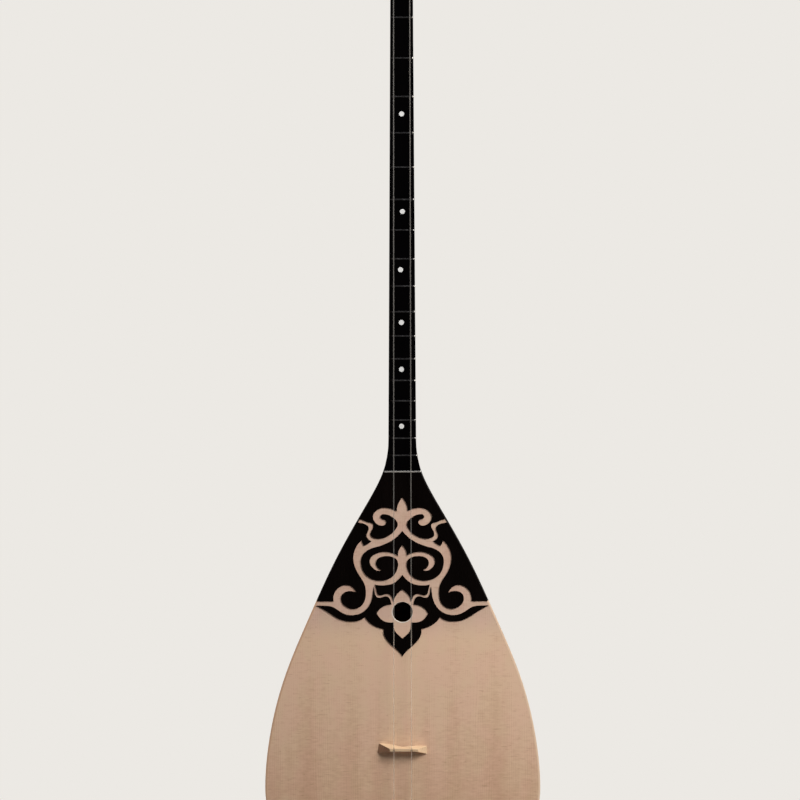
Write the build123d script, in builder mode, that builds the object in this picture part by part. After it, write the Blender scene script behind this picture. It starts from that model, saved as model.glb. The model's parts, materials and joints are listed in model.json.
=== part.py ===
from build123d import *
from math import acos, atan2, cos, hypot, radians, sin
import os

os.makedirs("parts", exist_ok=True)

# A two-string long-necked lute, standing upright: +Z runs up the neck towards the head, the strings
# face -Y, and X runs to the player's left. The origin is on the neck's back, level with the nut.
# "Height" means distance in front of the neck's back line, along -Y. All sizes are in millimetres.

# ---- driving dimensions -------------------------------------------------------------------------

SCALE_LENGTH = 630.0
FRET_COUNT = 19
NUT_WIDTH = 16.9
NECK_END_WIDTH = 21.4
NECK_END_Z = -395.0
NECK_DEPTH = 13.2                # at the nut, under the fingerboard
HEEL_DEPTH = 15.5                # where the neck starts to flare
BODY_HALF_WIDTH = 106.3
WIDEST_Z = -664.0
TAIL_LENGTH = 90.0               # from the widest line to the tail
BOWL_RATIO = 0.8                 # depth of the bowl over its half width

# The sides between the straight neck and the widest line, as (half width, z).
FLARE = [(11.1, -403.0), (12.5, -411.5), (15.1, -421.0), (20.3, -432.0)]
BODY_SIDE = [(34.8, -457.3), (51.8, -488.2), (73.2, -534.6), (92.0, -581.0), (103.2, -627.4)]
BOWL_TOP_Z = FLARE[-1][1]

GLUE_HEIGHT = NECK_DEPTH         # plane where the neck and the bowl meet the front boards
BOARD_THICKNESS = 3.8            # fingerboard
SOUNDBOARD_THICKNESS = 3.0
OVERLAY_THICKNESS = 0.8
FACE_HEIGHT = GLUE_HEIGHT + BOARD_THICKNESS
TOP_HEIGHT = GLUE_HEIGHT + SOUNDBOARD_THICKNESS
BOARD_END_Z = -420.4             # just below the last fret
BINDING_WIDTH = 1.3
OVERLAY_INSET = 0.9
HOLE_Z = -528.4
HOLE_RADIUS = 8.0

FRET_WIDTH = 1.4
FRET_CROWN = 0.7
TANG_WIDTH = 0.5
TANG_DEPTH = 1.6
FRET_END_GAP = 0.35
DOT_RADIUS = 1.95
DOT_DEPTH = 1.2
DOT_PLACES = [                   # set by eye between frets 4-5, 7-8, 9-10, 11-12, 13-14 and 16-17
    (-0.1, -143.4), (0.4, -218.8), (-1.1, -263.8), (-0.5, -304.6), (-0.5, -340.8), (-0.5, -384.8),
]

RIB_COUNT = 7
RIB_THICKNESS = 3.0
SPACER_ANGLE = 0.5
POLE_CLEAR = 16.0                # the ribs stop this far from the tail's centre
GLUE_LINE = 0.1
NECK_BLOCK_END_Z = -470.0
TAIL_BLOCK_Z = -732.0
LINING_WIDTH = 5.0
LINING_ANGLE = 4.5
TAIL_CAP_THICKNESS = 1.5
TAIL_CAP_Z = -741.0
BRACE_DEPTH = 8.0
BRACE_WIDTH = 6.0
BRACES_Z = (-572.0, -664.0, -708.0)
BRACE_END_GAP = 9.0
TENON = (12.0, 8.0, 25.0)        # width, depth, length

NUT_LENGTH = 4.5
NUT_HEIGHT = FACE_HEIGHT + 2.2
NUT_CREST_Z = 1.2
NUT_SLOT_FALL = 1.5              # the slots fall away towards the pegs
STRING_RADIUS = 0.425
NUT_SPREAD = 6.2                 # half the string spacing at the nut
BRIDGE_SPREAD = 6.85
NUT_STRING_HEIGHT = FACE_HEIGHT + 1.3      # underside of a string on the nut

HEAD_TILT = radians(6.0)
HEAD_LENGTH = 158.0
HEAD_DEPTH = 17.5                # at the tip
VENEER_THICKNESS = 1.4
HEAD_ROUND = 4.5
SLOT_WIDTH = 13.0
SLOT_START = 12.0
SLOT_END = 92.0
SLOT_DEPTH = 12.2
SLOT_CORNER = 5.5
SCARF_TOP = 12.0                 # the scarf joint meets the face this far above the nut
SCARF_FALL = 42.0                # and drops this far through the neck's depth

PEG_RADIUS = 4.0                 # at the head's centre plane
PEG_TAPER = 0.03
PEG_CLEARANCE = 0.05
PEG_SINK = 6.8                   # peg axis behind the head's face
PEG_TIP = 18.5
PEG_SHOULDER = 17.5
PEG_PLACES = {"left": (40.0, -1), "right": (75.0, 1)}
WINDING_LANE = 4.4               # where a string meets its peg, out from the centre plane
WINDING_TURNS = 4
WINDING_PITCH = 0.9

BRIDGE_HEIGHT = 8.5
BRIDGE_Z = -635.0
NOTCH_WIDTH = 1.0
NOTCH_DEPTH = 0.9
NOTCH_GAP = 0.2                  # under the string, so that the bridge can be slid

SADDLE_WIDTH = 26.0
SADDLE_Z = (-756.0, -749.0)
SADDLE_HEIGHT = TOP_HEIGHT + 1.6
SADDLE_ROUND = 2.0

BUTTON_Y = -4.2
BUTTON_BASE_Z = WIDEST_Z - TAIL_LENGTH - TAIL_CAP_THICKNESS + 0.1
BUTTON_SHANK_RADIUS = 3.5
BUTTON_SHANK_LENGTH = 16.0
BUTTON_WAIST_RADIUS = 4.5
BUTTON_WAIST_Z = -3.9            # below the button's base
BUTTON_HEAD_RADIUS = 7.5


# ---- shared geometry ----------------------------------------------------------------------------

def front(height):
    """Plane facing the strings, this far in front of the neck's back line: local x is X, y is Z."""
    return Plane.XZ.offset(height)


def fret_z(number):
    """Each fret divides the open string by the twelfth root of two once more."""
    return -SCALE_LENGTH * (1 - 2 ** (-number / 12))


def half_width_at(z):
    """Half width of the fingerboard at a height on the neck."""
    stations = [(NUT_WIDTH / 2, 0.0), (NECK_END_WIDTH / 2, NECK_END_Z)] + FLARE
    for (upper_width, upper_z), (lower_width, lower_z) in zip(stations, stations[1:]):
        if z >= lower_z:
            share = (upper_z - z) / (upper_z - lower_z)
            return upper_width + share * (lower_width - upper_width)
    return stations[-1][0]


UNIT_SPEED = (1, 1)              # end tangents at the speed of the chords between points
SIDE_CURVE = Spline(
    (NECK_END_WIDTH / 2, NECK_END_Z),
    *FLARE,
    *BODY_SIDE,
    (BODY_HALF_WIDTH, WIDEST_Z),
    tangents=[((NUT_WIDTH - NECK_END_WIDTH) / 2 / NECK_END_Z, -1), (0, -1)],
    tangent_scalars=UNIT_SPEED,
)
SIDE_STEPS = 14


def silhouette(inset):
    """Front outline of the fingerboard and body in one, moved inwards by inset."""
    side = []
    for step in range(SIDE_STEPS + 1):
        along = SIDE_CURVE % (step / SIDE_STEPS)
        side.append(SIDE_CURVE @ (step / SIDE_STEPS) + Vector(along.Y, -along.X) * inset)
    tail = (0, WIDEST_Z - TAIL_LENGTH + inset)
    with BuildSketch() as outline:
        with BuildLine():
            Polyline((0, -inset), (max(NUT_WIDTH / 2 - inset, 1.0), -inset), side[0])
            Spline(*side, tangents=[SIDE_CURVE % 0, (0, -1)], tangent_scalars=UNIT_SPEED)
            EllipticalCenterArc(
                (0, WIDEST_Z),
                BODY_HALF_WIDTH - inset,
                TAIL_LENGTH - inset,
                start_angle=270,
                arc_size=90,
            )
            Line(tail, (0, -inset))
        make_face()
        mirror(about=Plane.YZ)
    return outline.sketch


OUTLINE = silhouette(0.0)
CAP_OUTSIDE = silhouette(-TAIL_CAP_THICKNESS)
BINDING_INSIDE = silhouette(BINDING_WIDTH)
OVERLAY_LIMIT = silhouette(OVERLAY_INSET)
RIB_INSIDE = silhouette(RIB_THICKNESS)
CAVITY = silhouette(RIB_THICKNESS + GLUE_LINE)
LINING_INSIDE = silhouette(RIB_THICKNESS + GLUE_LINE + LINING_WIDTH)
BRACE_LIMIT = silhouette(BRACE_END_GAP)


def keep_region(low, high):
    """Trim the active sketch to the rectangle between two corners."""
    with Locations(((low[0] + high[0]) / 2, (low[1] + high[1]) / 2)):
        Rectangle(high[0] - low[0], high[1] - low[1], mode=Mode.INTERSECT)


FAR = 200.0                      # beyond the body on every side
LOWEST = -800.0

BOWL_AXIS = Axis((0, -GLUE_HEIGHT, 0), (0, 0, 1))


def bowl_plane(angle):
    """Plane through the bowl's axis, this many degrees round the back from the +X rim."""
    turn = radians(angle)
    return Plane(
        origin=(0, -GLUE_HEIGHT, 0), x_dir=(cos(turn), sin(turn), 0), z_dir=(sin(turn), -cos(turn), 0)
    )


def sweep_round_bowl(arc):
    """Turn the pending section about the bowl's axis, then press it to the bowl's shallower depth."""
    revolve(axis=BOWL_AXIS, revolution_arc=arc)
    scale(by=(1, BOWL_RATIO, 1), about=(0, -GLUE_HEIGHT, 0))


def finish(name, piece):
    piece.part.label = name
    export_step(piece.part, f"parts/{name}.step")


# ---- head frame: v runs up the head from the nut's far side, h stands out of its face ------------

HEAD_ORIGIN = (0, -GLUE_HEIGHT, NUT_LENGTH)
HEAD_UP = (0, sin(HEAD_TILT), cos(HEAD_TILT))
HEAD_OUT = (0, -cos(HEAD_TILT), sin(HEAD_TILT))
HEAD_FACE = Plane(origin=HEAD_ORIGIN, x_dir=(1, 0, 0), z_dir=HEAD_OUT)


def head_point(x, v, h):
    """A point of the tilted head in the whole instrument's coordinates."""
    y = HEAD_ORIGIN[1] + v * HEAD_UP[1] + h * HEAD_OUT[1]
    z = HEAD_ORIGIN[2] + v * HEAD_UP[2] + h * HEAD_OUT[2]
    return (x, y, z)


def head_outline():
    """Front outline of the head: it swells out of the neck and ends in a spade-shaped tip."""
    with BuildSketch() as outline:
        with BuildLine():
            Polyline((0, -NUT_LENGTH), (NUT_WIDTH / 2, -NUT_LENGTH), (NUT_WIDTH / 2, 2))
            Spline(
                (NUT_WIDTH / 2, 2), (11.2, 11), (14.2, 22), (15.2, 36),
                tangents=[(0, 1), (0, 1)], tangent_scalars=UNIT_SPEED,
            )
            Line((15.2, 36), (14.4, 108))
            Spline(
                (14.4, 108), (15.9, 120), (12.4, 134), (6.2, 144), (3.0, 153), (0, HEAD_LENGTH),
                tangents=[(0, 1), (-1, 0)],
                tangent_scalars=UNIT_SPEED,
            )
            Line((0, HEAD_LENGTH), (0, -NUT_LENGTH))
        make_face()
        mirror(about=Plane.YZ)
    return outline.sketch


def peg_plane(place):
    """Plane through a peg's axis: local x runs out to the peg's knob, y out of the head's face."""
    v, side = place
    return Plane(
        origin=head_point(0, v, -PEG_SINK),
        x_dir=(side, 0, 0),
        z_dir=(0, -side * sin(HEAD_TILT), -side * cos(HEAD_TILT)),
    )


def peg_axis(place):
    v, side = place
    return Axis(head_point(0, v, -PEG_SINK), (side, 0, 0))


def peg_radius_at(x):
    return PEG_RADIUS + PEG_TAPER * x


def peg_shank(start, end, clearance=0.0):
    """Half section of the tapered shank."""
    with BuildSketch() as section:
        with BuildLine():
            Polyline(
                (start, 0),
                (start, peg_radius_at(start) + clearance),
                (end, peg_radius_at(end) + clearance),
                (end, 0),
                close=True,
            )
        make_face()
    return section.sketch


# ---- neck and head, cut from one blank at a scarf joint ------------------------------------------

SCARF = Plane(
    origin=(0, -GLUE_HEIGHT, SCARF_TOP), x_dir=(1, 0, 0), z_dir=(0, SCARF_FALL, GLUE_HEIGHT)
)
NECK_SECTIONS = [
    (NECK_END_WIDTH / 2, NECK_END_Z, HEEL_DEPTH),
    (11.1, -403.0, 15.55),
    (12.5, -411.5, 15.7),
    (15.1, -421.0, 15.9),
    (20.3, BOWL_TOP_Z, 20.3 * BOWL_RATIO),
]


def neck_section(half_width, z, depth):
    """D-shaped section: flat in front, half an ellipse behind."""
    with BuildSketch(Plane(origin=(0, -GLUE_HEIGHT, z), x_dir=(1, 0, 0), z_dir=(0, 0, 1))) as section:
        with BuildLine():
            Line((-half_width, 0), (half_width, 0))
            EllipticalCenterArc((0, 0), half_width, depth, start_angle=0, arc_size=180)
        make_face()
    return section.sketch


with BuildPart() as blank:
    with BuildSketch(HEAD_FACE):
        add(head_outline())
    extrude(amount=2 * HEAD_DEPTH, both=True)
    back_end = head_point(0, HEAD_LENGTH + NUT_LENGTH, -HEAD_DEPTH)
    front_end = head_point(0, HEAD_LENGTH + NUT_LENGTH, 0)
    with BuildSketch(Plane.YZ):
        Polygon(HEAD_ORIGIN[1:], front_end[1:], back_end[1:], (0, NUT_LENGTH), align=None)
    extrude(amount=FAR, both=True, mode=Mode.INTERSECT)
    back_faces = faces().filter_by(lambda face: face.normal_at().dot(Vector(*HEAD_OUT)) < -0.9)
    lengthwise = [e for face in back_faces for e in face.edges() if e.bounding_box().size.Z > 0.3]
    fillet(lengthwise, HEAD_ROUND)
    loft([neck_section(NUT_WIDTH / 2, NUT_LENGTH, NECK_DEPTH), neck_section(*NECK_SECTIONS[0])])
    loft([neck_section(*station) for station in NECK_SECTIONS])


with BuildPart() as neck:
    add(blank.part)
    tenon_width, tenon_depth, tenon_length = TENON
    with Locations((0, -GLUE_HEIGHT / 2, BOWL_TOP_Z)):
        Box(
            tenon_width,
            tenon_depth,
            tenon_length,
            align=(Align.CENTER, Align.CENTER, Align.MAX),
        )
    split(bisect_by=SCARF, keep=Keep.BOTTOM)
finish("neck", neck)

with BuildPart() as head:
    add(blank.part)
    split(bisect_by=SCARF, keep=Keep.TOP)
    with BuildSketch(HEAD_FACE):
        with Locations((0, (SLOT_START + SLOT_END) / 2)):
            RectangleRounded(SLOT_WIDTH, SLOT_END - SLOT_START, SLOT_CORNER)
    extrude(amount=-SLOT_DEPTH, mode=Mode.SUBTRACT)
    for place in PEG_PLACES.values():
        with BuildSketch(peg_plane(place)):
            add(peg_shank(-PEG_TIP, PEG_SHOULDER, PEG_CLEARANCE))
        revolve(axis=peg_axis(place), mode=Mode.SUBTRACT)
finish("head", head)

with BuildPart() as head_veneer:
    with BuildSketch(HEAD_FACE):
        add(head_outline())
        keep_region((-FAR, 0), (FAR, HEAD_LENGTH + 1))
        with Locations((0, (SLOT_START + SLOT_END) / 2)):
            RectangleRounded(
                SLOT_WIDTH, SLOT_END - SLOT_START, SLOT_CORNER, mode=Mode.SUBTRACT
            )
    extrude(amount=VENEER_THICKNESS)
finish("head_veneer", head_veneer)

with BuildPart() as nut:
    with BuildSketch(Plane.YZ):
        with BuildLine():
            Polyline(
                (-NUT_HEIGHT + 1.2, NUT_LENGTH),
                (-GLUE_HEIGHT, NUT_LENGTH),
                (-GLUE_HEIGHT, 0),
                (-NUT_HEIGHT + 0.3, 0),
                (-NUT_HEIGHT, 0.5),
            )
            ThreePointArc(
                (-NUT_HEIGHT, 0.5),
                (-NUT_HEIGHT + 0.3, NUT_LENGTH / 2 + 0.5),
                (-NUT_HEIGHT + 1.2, NUT_LENGTH),
            )
        make_face()
    extrude(amount=NUT_WIDTH / 2, both=True)
    for side in (-1, 1):
        with BuildSketch(Plane.YZ.offset(side * NUT_SPREAD)):
            Polygon(
                (-NUT_HEIGHT - 1, -1),
                (-NUT_STRING_HEIGHT, -1),
                (-NUT_STRING_HEIGHT, NUT_CREST_Z),
                (-NUT_STRING_HEIGHT + NUT_SLOT_FALL, NUT_LENGTH + 1),
                (-NUT_HEIGHT - 1, NUT_LENGTH + 1),
                align=None,
            )
        extrude(amount=STRING_RADIUS + 0.25, both=True, mode=Mode.SUBTRACT)
finish("nut", nut)

# ---- fingerboard, frets and position dots --------------------------------------------------------

with BuildPart() as fingerboard:
    with BuildSketch(front(GLUE_HEIGHT)):
        add(OUTLINE)
        keep_region((-FAR, BOARD_END_Z), (FAR, 0))
    extrude(amount=BOARD_THICKNESS)
    for number in range(1, FRET_COUNT + 1):
        with Locations((0, -FACE_HEIGHT, fret_z(number))):
            Box(
                2 * FAR,
                TANG_DEPTH,
                TANG_WIDTH,
                align=(Align.CENTER, Align.MIN, Align.CENTER),
                mode=Mode.SUBTRACT,
            )
    with BuildSketch(front(FACE_HEIGHT)):
        with Locations(*DOT_PLACES):
            Circle(DOT_RADIUS)
    extrude(amount=-DOT_DEPTH, mode=Mode.SUBTRACT)
finish("fingerboard", fingerboard)

with BuildPart() as position_dots:
    with BuildSketch(front(FACE_HEIGHT - DOT_DEPTH)):
        with Locations(*DOT_PLACES):
            Circle(DOT_RADIUS)
    extrude(amount=DOT_DEPTH)
finish("position_dots", position_dots)

for number in range(1, FRET_COUNT + 1):
    z = fret_z(number)
    with BuildPart() as fret:
        with BuildSketch(Plane.YZ):
            with BuildLine():
                Line((-FACE_HEIGHT, z + FRET_WIDTH / 2), (-FACE_HEIGHT, z - FRET_WIDTH / 2))
                ThreePointArc(
                    (-FACE_HEIGHT, z - FRET_WIDTH / 2),
                    (-FACE_HEIGHT - FRET_CROWN, z),
                    (-FACE_HEIGHT, z + FRET_WIDTH / 2),
                )
            make_face()
            with Locations((-FACE_HEIGHT + TANG_DEPTH / 2, z)):
                Rectangle(TANG_DEPTH, TANG_WIDTH)
        extrude(amount=half_width_at(z) - FRET_END_GAP, both=True)
    finish(f"fret_{number:02d}", fret)

# ---- bowl: ribs, spacers, blocks, linings, tail cap ----------------------------------------------

RIB_ANGLE = 180.0 / RIB_COUNT


def draw_rib_section():
    """Section of the bowl's wall in the active sketch."""
    add(OUTLINE)
    keep_region((POLE_CLEAR, LOWEST), (FAR, BOWL_TOP_Z))
    add(RIB_INSIDE, mode=Mode.SUBTRACT)


for number in range(RIB_COUNT):
    start = number * RIB_ANGLE + (SPACER_ANGLE / 2 if number > 0 else 0)
    end = (number + 1) * RIB_ANGLE - (SPACER_ANGLE / 2 if number < RIB_COUNT - 1 else 0)
    with BuildPart() as rib:
        with BuildSketch(bowl_plane(start)):
            draw_rib_section()
        sweep_round_bowl(end - start)
    finish(f"rib_{number + 1}", rib)

with BuildPart() as rib_spacers:
    for number in range(1, RIB_COUNT):
        with BuildSketch(bowl_plane(number * RIB_ANGLE - SPACER_ANGLE / 2)):
            draw_rib_section()
        revolve(axis=BOWL_AXIS, revolution_arc=SPACER_ANGLE)
    scale(by=(1, BOWL_RATIO, 1), about=(0, -GLUE_HEIGHT, 0))
finish("rib_spacers", rib_spacers)

with BuildPart() as neck_block:
    with BuildSketch(bowl_plane(0)):
        add(CAVITY)
        keep_region((0, NECK_BLOCK_END_Z), (FAR, BOWL_TOP_Z))
    sweep_round_bowl(180)
    with Locations((0, -GLUE_HEIGHT / 2, BOWL_TOP_Z)):
        Box(*TENON, align=(Align.CENTER, Align.CENTER, Align.MAX), mode=Mode.SUBTRACT)
finish("neck_block", neck_block)


def cut_button_bore():
    """Remove the button shank's hole from the active part."""
    with Locations((0, BUTTON_Y, WIDEST_Z - TAIL_LENGTH)):
        Cylinder(BUTTON_SHANK_RADIUS, 100.0, mode=Mode.SUBTRACT)


with BuildPart() as tail_block:
    with BuildSketch(bowl_plane(0)):
        add(OUTLINE)
        keep_region((0, LOWEST), (POLE_CLEAR - GLUE_LINE, TAIL_BLOCK_Z))
        add(CAVITY)
        keep_region((0, LOWEST), (FAR, TAIL_BLOCK_Z))
    sweep_round_bowl(180)
    cut_button_bore()
finish("tail_block", tail_block)

for name, start in (("lining_left", 180 - LINING_ANGLE), ("lining_right", 0)):
    with BuildPart() as lining:
        with BuildSketch(bowl_plane(start)):
            add(CAVITY)
            add(LINING_INSIDE, mode=Mode.SUBTRACT)
            keep_region((0, TAIL_BLOCK_Z + 1), (FAR, NECK_BLOCK_END_Z - 1))
        sweep_round_bowl(LINING_ANGLE)
    finish(name, lining)

with BuildPart() as tail_cap:
    with BuildSketch(bowl_plane(0)):
        add(CAP_OUTSIDE)
        add(OUTLINE, mode=Mode.SUBTRACT)
        keep_region((0, LOWEST), (FAR, TAIL_CAP_Z))
    sweep_round_bowl(180)
    cut_button_bore()
finish("tail_cap", tail_cap)

with BuildPart() as braces:
    for brace_z in BRACES_Z:
        with BuildSketch(front(GLUE_HEIGHT)):
            add(BRACE_LIMIT)
            keep_region((-FAR, brace_z - BRACE_WIDTH / 2), (FAR, brace_z + BRACE_WIDTH / 2))
        extrude(amount=-BRACE_DEPTH)
finish("braces", braces)

# ---- front boards --------------------------------------------------------------------------------

SIDES = {"left": -1, "right": 1}


def keep_side(side):
    """Trim the active sketch to one half of the soundboard, from the fingerboard's end down."""
    low, high = sorted((0.0, side * FAR))
    keep_region((low, LOWEST), (high, BOARD_END_Z))


def cut_saddle_notch():
    """Remove the saddle's seat from the active part."""
    with Locations((0, -GLUE_HEIGHT, SADDLE_Z[1])):
        Box(
            SADDLE_WIDTH,
            2 * SOUNDBOARD_THICKNESS,
            20.0,
            align=(Align.CENTER, Align.MAX, Align.MAX),
            mode=Mode.SUBTRACT,
        )


for name, side in SIDES.items():
    with BuildPart() as soundboard:
        with BuildSketch(front(GLUE_HEIGHT)):
            add(BINDING_INSIDE)
            keep_side(side)
            with Locations((0, HOLE_Z)):
                Circle(HOLE_RADIUS, mode=Mode.SUBTRACT)
        extrude(amount=SOUNDBOARD_THICKNESS)
        cut_saddle_notch()
    finish(f"soundboard_{name}", soundboard)

    with BuildPart() as binding:
        with BuildSketch(front(GLUE_HEIGHT)):
            add(OUTLINE)
            add(BINDING_INSIDE, mode=Mode.SUBTRACT)
            keep_side(side)
        extrude(amount=SOUNDBOARD_THICKNESS)
        front_edges = edges().group_by(Axis.Y)[0]
        outer_edge = front_edges.filter_by(lambda edge: edge.length > 100).sort_by(Edge.length)[-1]
        fillet(outer_edge, 0.7)
        cut_saddle_notch()
    finish(f"edge_binding_{name}", binding)

# ---- overlay: six thin black pieces that leave the soundboard bare as a scroll ornament -----------

OVERLAY_TOP = BOARD_END_Z - HOLE_Z


def island(*runs, centred=True):
    """Closed outline of smooth runs meeting at corners; a centred one is half drawn, then mirrored.

    Points are (out from the centre line, above the sound hole's centre).
    """
    with BuildSketch() as outline:
        with BuildLine():
            for run in runs:
                points = [(out, HOLE_Z + up) for out, up in run]
                if len(points) > 2:
                    Spline(*points)
                else:
                    Line(*points)
        make_face()
        if centred:
            mirror(about=Plane.YZ)
    return outline.sketch


def crown_outline():
    return island(
        [(0, OVERLAY_TOP), (40, OVERLAY_TOP)],
        [(40, OVERLAY_TOP), (40, 72.6)],
        [
            (40, 72.6), (35.5, 72.2), (31.0, 71.3), (26.1, 69.4), (22.7, 68.1),
            (22.3, 66.3), (23.7, 63.3), (24.6, 60.5), (23.9, 58.1),
        ],
        [
            (23.9, 58.1), (20.3, 56.8), (15.3, 57.0), (10.3, 59.1), (6.7, 62.0), (4.6, 64.9),
            (3.5, 67.7), (4.3, 70.1), (6.7, 72.7), (9.6, 74.5), (13.1, 75.6), (16.0, 75.2),
            (16.9, 73.4), (15.5, 71.9), (13.5, 71.2), (12.4, 69.6),
        ],
        [
            (12.4, 69.6), (13.4, 67.6), (16.0, 66.8), (18.7, 67.5), (21.5, 70.0), (22.8, 73.3),
            (21.7, 76.6), (18.2, 79.5), (13.1, 80.6), (8.2, 79.7), (4.2, 78.1),
        ],
        [(4.2, 78.1), (4.0, 81.2), (2.5, 85.0), (0, 88.7)],
        [(0, 88.7), (0, OVERLAY_TOP)],
    )


def side_panel_outline():
    return island(
        [(36.5, 70.0), (90, 70.0)],
        [(90, 70.0), (90, 8.4)],
        [(90, 8.4), (53.2, 8.4)],
        [
            (53.2, 8.4), (53.1, 13.2), (51.0, 17.1), (47.5, 19.9), (43.2, 20.9), (39.4, 19.8),
            (37.0, 17.6), (35.6, 15.1),
        ],
        [
            (35.6, 15.1), (38.6, 16.1), (41.7, 16.2), (44.9, 15.2), (46.9, 13.0), (47.4, 9.9),
            (46.3, 6.7), (43.2, 3.9), (38.9, 2.4), (34.6, 3.1), (31.0, 5.6), (28.9, 9.9),
            (28.3, 15.4), (29.0, 20.6), (31.1, 25.0), (34.0, 29.4), (36.7, 34.9), (37.9, 41.0),
            (37.2, 46.7), (34.8, 51.8), (31.4, 55.5),
        ],
        [(31.4, 55.5), (30.6, 53.0), (29.5, 51.2)],
        [(29.5, 51.2), (26.7, 52.6), (23.9, 54.9)],
        [
            (23.9, 54.9), (26.3, 56.4), (27.7, 58.9), (26.8, 62.0), (26.0, 65.0), (27.4, 67.1),
            (30.8, 68.6), (36.5, 70.0),
        ],
        centred=False,
    )


def centre_outline():
    return island(
        [
            (0, 62.7), (3.2, 59.1), (6.8, 56.2), (11.7, 53.4), (18.5, 50.8), (24.3, 49.1),
            (28.9, 46.3), (31.5, 42.4), (31.9, 37.4), (30.5, 32.0), (27.4, 27.9), (23.2, 25.3),
            (18.2, 24.3), (13.1, 24.7), (8.9, 26.5), (5.9, 29.3), (4.0, 33.0), (3.3, 37.1),
            (4.2, 40.2), (6.8, 42.2), (10.5, 43.2), (14.6, 43.1), (18.6, 41.6), (20.4, 38.6),
            (19.6, 35.1), (17.7, 33.2), (16.0, 32.5),
        ],
        [
            (16.0, 32.5), (19.2, 32.0), (22.4, 33.8), (24.8, 36.9), (25.2, 40.2), (23.3, 43.2),
            (19.6, 45.4), (14.6, 46.5), (9.6, 46.1), (6.3, 45.1), (3.4, 43.5),
        ],
        [(3.4, 43.5), (3.3, 46.1), (2.1, 49.0), (0, 51.7)],
        [(0, 51.7), (0, 62.7)],
    )


def link_outline():
    return island(
        [(0, 28.8), (3.3, 24.9), (7.6, 22.0), (12.8, 20.8), (17.4, 20.6), (21.1, 21.3)],
        [
            (21.1, 21.3), (20.5, 18.6), (19.8, 15.6), (18.7, 13.4), (16.9, 12.9), (12.9, 14.0),
            (9.6, 13.4), (7.9, 11.0), (6.8, 8.4),
        ],
        [(6.8, 8.4), (5.9, 11.2), (3.6, 14.4), (0, 17.4)],
        [(0, 17.4), (0, 28.8)],
    )


def apron_outline():
    return island(
        [(0, -20.4), (3.7, -17.2), (6.2, -13.9), (6.9, -11.0), (6.8, -8.0)],
        [(6.8, -8.0), (11.3, -7.9), (15.1, -6.6), (17.7, -4.3), (19.9, -1.1)],
        [(19.9, -1.1), (17.9, 1.9), (14.8, 4.3), (11.5, 5.5), (8.5, 6.0)],
        [
            (8.5, 6.0), (9.3, 9.0), (10.8, 11.5), (13.2, 12.2), (17.4, 11.1), (19.9, 11.8),
            (21.3, 14.8), (22.1, 19.4),
        ],
        [
            (22.1, 19.4), (22.7, 15.4), (23.3, 11.2), (25.3, 5.8), (28.9, 1.4), (33.9, -1.5),
            (39.6, -2.4), (45.3, -1.2), (49.8, 1.5), (53.7, 3.9), (58.7, 4.9), (66.6, 5.1),
        ],
        [
            (66.6, 5.1), (61.5, 2.3), (55.4, -1.5), (48.5, -5.6), (40.6, -7.3), (33.8, -6.6),
            (29.0, -3.7),
        ],
        [(29.0, -3.7), (25.6, -8.1), (20.1, -11.5), (14.4, -13.1)],
        [(14.4, -13.1), (14.3, -17.3), (12.3, -21.4), (7.3, -26.6), (0, -34.2)],
        [(0, -34.2), (0, -20.4)],
    )


def make_overlay(name, outline, flip=False):
    with BuildPart() as overlay:
        with BuildSketch(front(TOP_HEIGHT)):
            add(outline)
            if flip:
                mirror(about=Plane.YZ, mode=Mode.REPLACE)
            add(OVERLAY_LIMIT, mode=Mode.INTERSECT)
        extrude(amount=OVERLAY_THICKNESS)
    finish(name, overlay)


make_overlay("overlay_crown", crown_outline())
make_overlay("overlay_side_right", side_panel_outline())
make_overlay("overlay_side_left", side_panel_outline(), flip=True)
make_overlay("overlay_centre", centre_outline())
make_overlay("overlay_link", link_outline())
make_overlay("overlay_apron", apron_outline())

# ---- bridge: a small hourglass foot carved up to a narrow crest -----------------------------------

BRIDGE_FOOT = [
    (-18.4, 5.1), (-6.0, 4.5), (-0.5, 3.0), (5.0, 3.7), (18.8, 3.0),
    (18.8, -3.2), (9.5, -1.4), (-10.0, -1.4), (-19.6, -2.2),
]
BRIDGE_CREST = [
    (-10.2, 1.4), (-5.0, 1.4), (-0.5, 1.1), (5.0, 1.2), (11.6, 0.8),
    (12.2, -1.0), (8.5, -0.7), (-7.5, -0.7), (-9.8, -0.8),
]
STRING_RISE = TOP_HEIGHT + BRIDGE_HEIGHT - NOTCH_DEPTH + NOTCH_GAP + STRING_RADIUS


def bridge_section(points, height):
    with BuildSketch(front(height)) as section:
        with BuildLine():
            Polyline(*[(x, BRIDGE_Z + z) for x, z in points], close=True)
        make_face()
    return section.sketch


with BuildPart() as bridge:
    foot = bridge_section(BRIDGE_FOOT, TOP_HEIGHT)
    crest = bridge_section(BRIDGE_CREST, TOP_HEIGHT + BRIDGE_HEIGHT)
    loft([foot, crest], ruled=True)
    with BuildSketch(Plane.XY.offset(BRIDGE_Z)):
        with BuildLine():
            ThreePointArc((-11.0, -TOP_HEIGHT), (0, -TOP_HEIGHT - 2.2), (11.0, -TOP_HEIGHT))
            Line((11.0, -TOP_HEIGHT), (-11.0, -TOP_HEIGHT))
        make_face()
    extrude(amount=20.0, both=True, mode=Mode.SUBTRACT)
    for side in (-1, 1):
        with Locations((side * BRIDGE_SPREAD, -TOP_HEIGHT - BRIDGE_HEIGHT, BRIDGE_Z)):
            Box(NOTCH_WIDTH, 2 * NOTCH_DEPTH, 20.0, mode=Mode.SUBTRACT)
finish("bridge", bridge)

# ---- tail: saddle, button -------------------------------------------------------------------------

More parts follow.
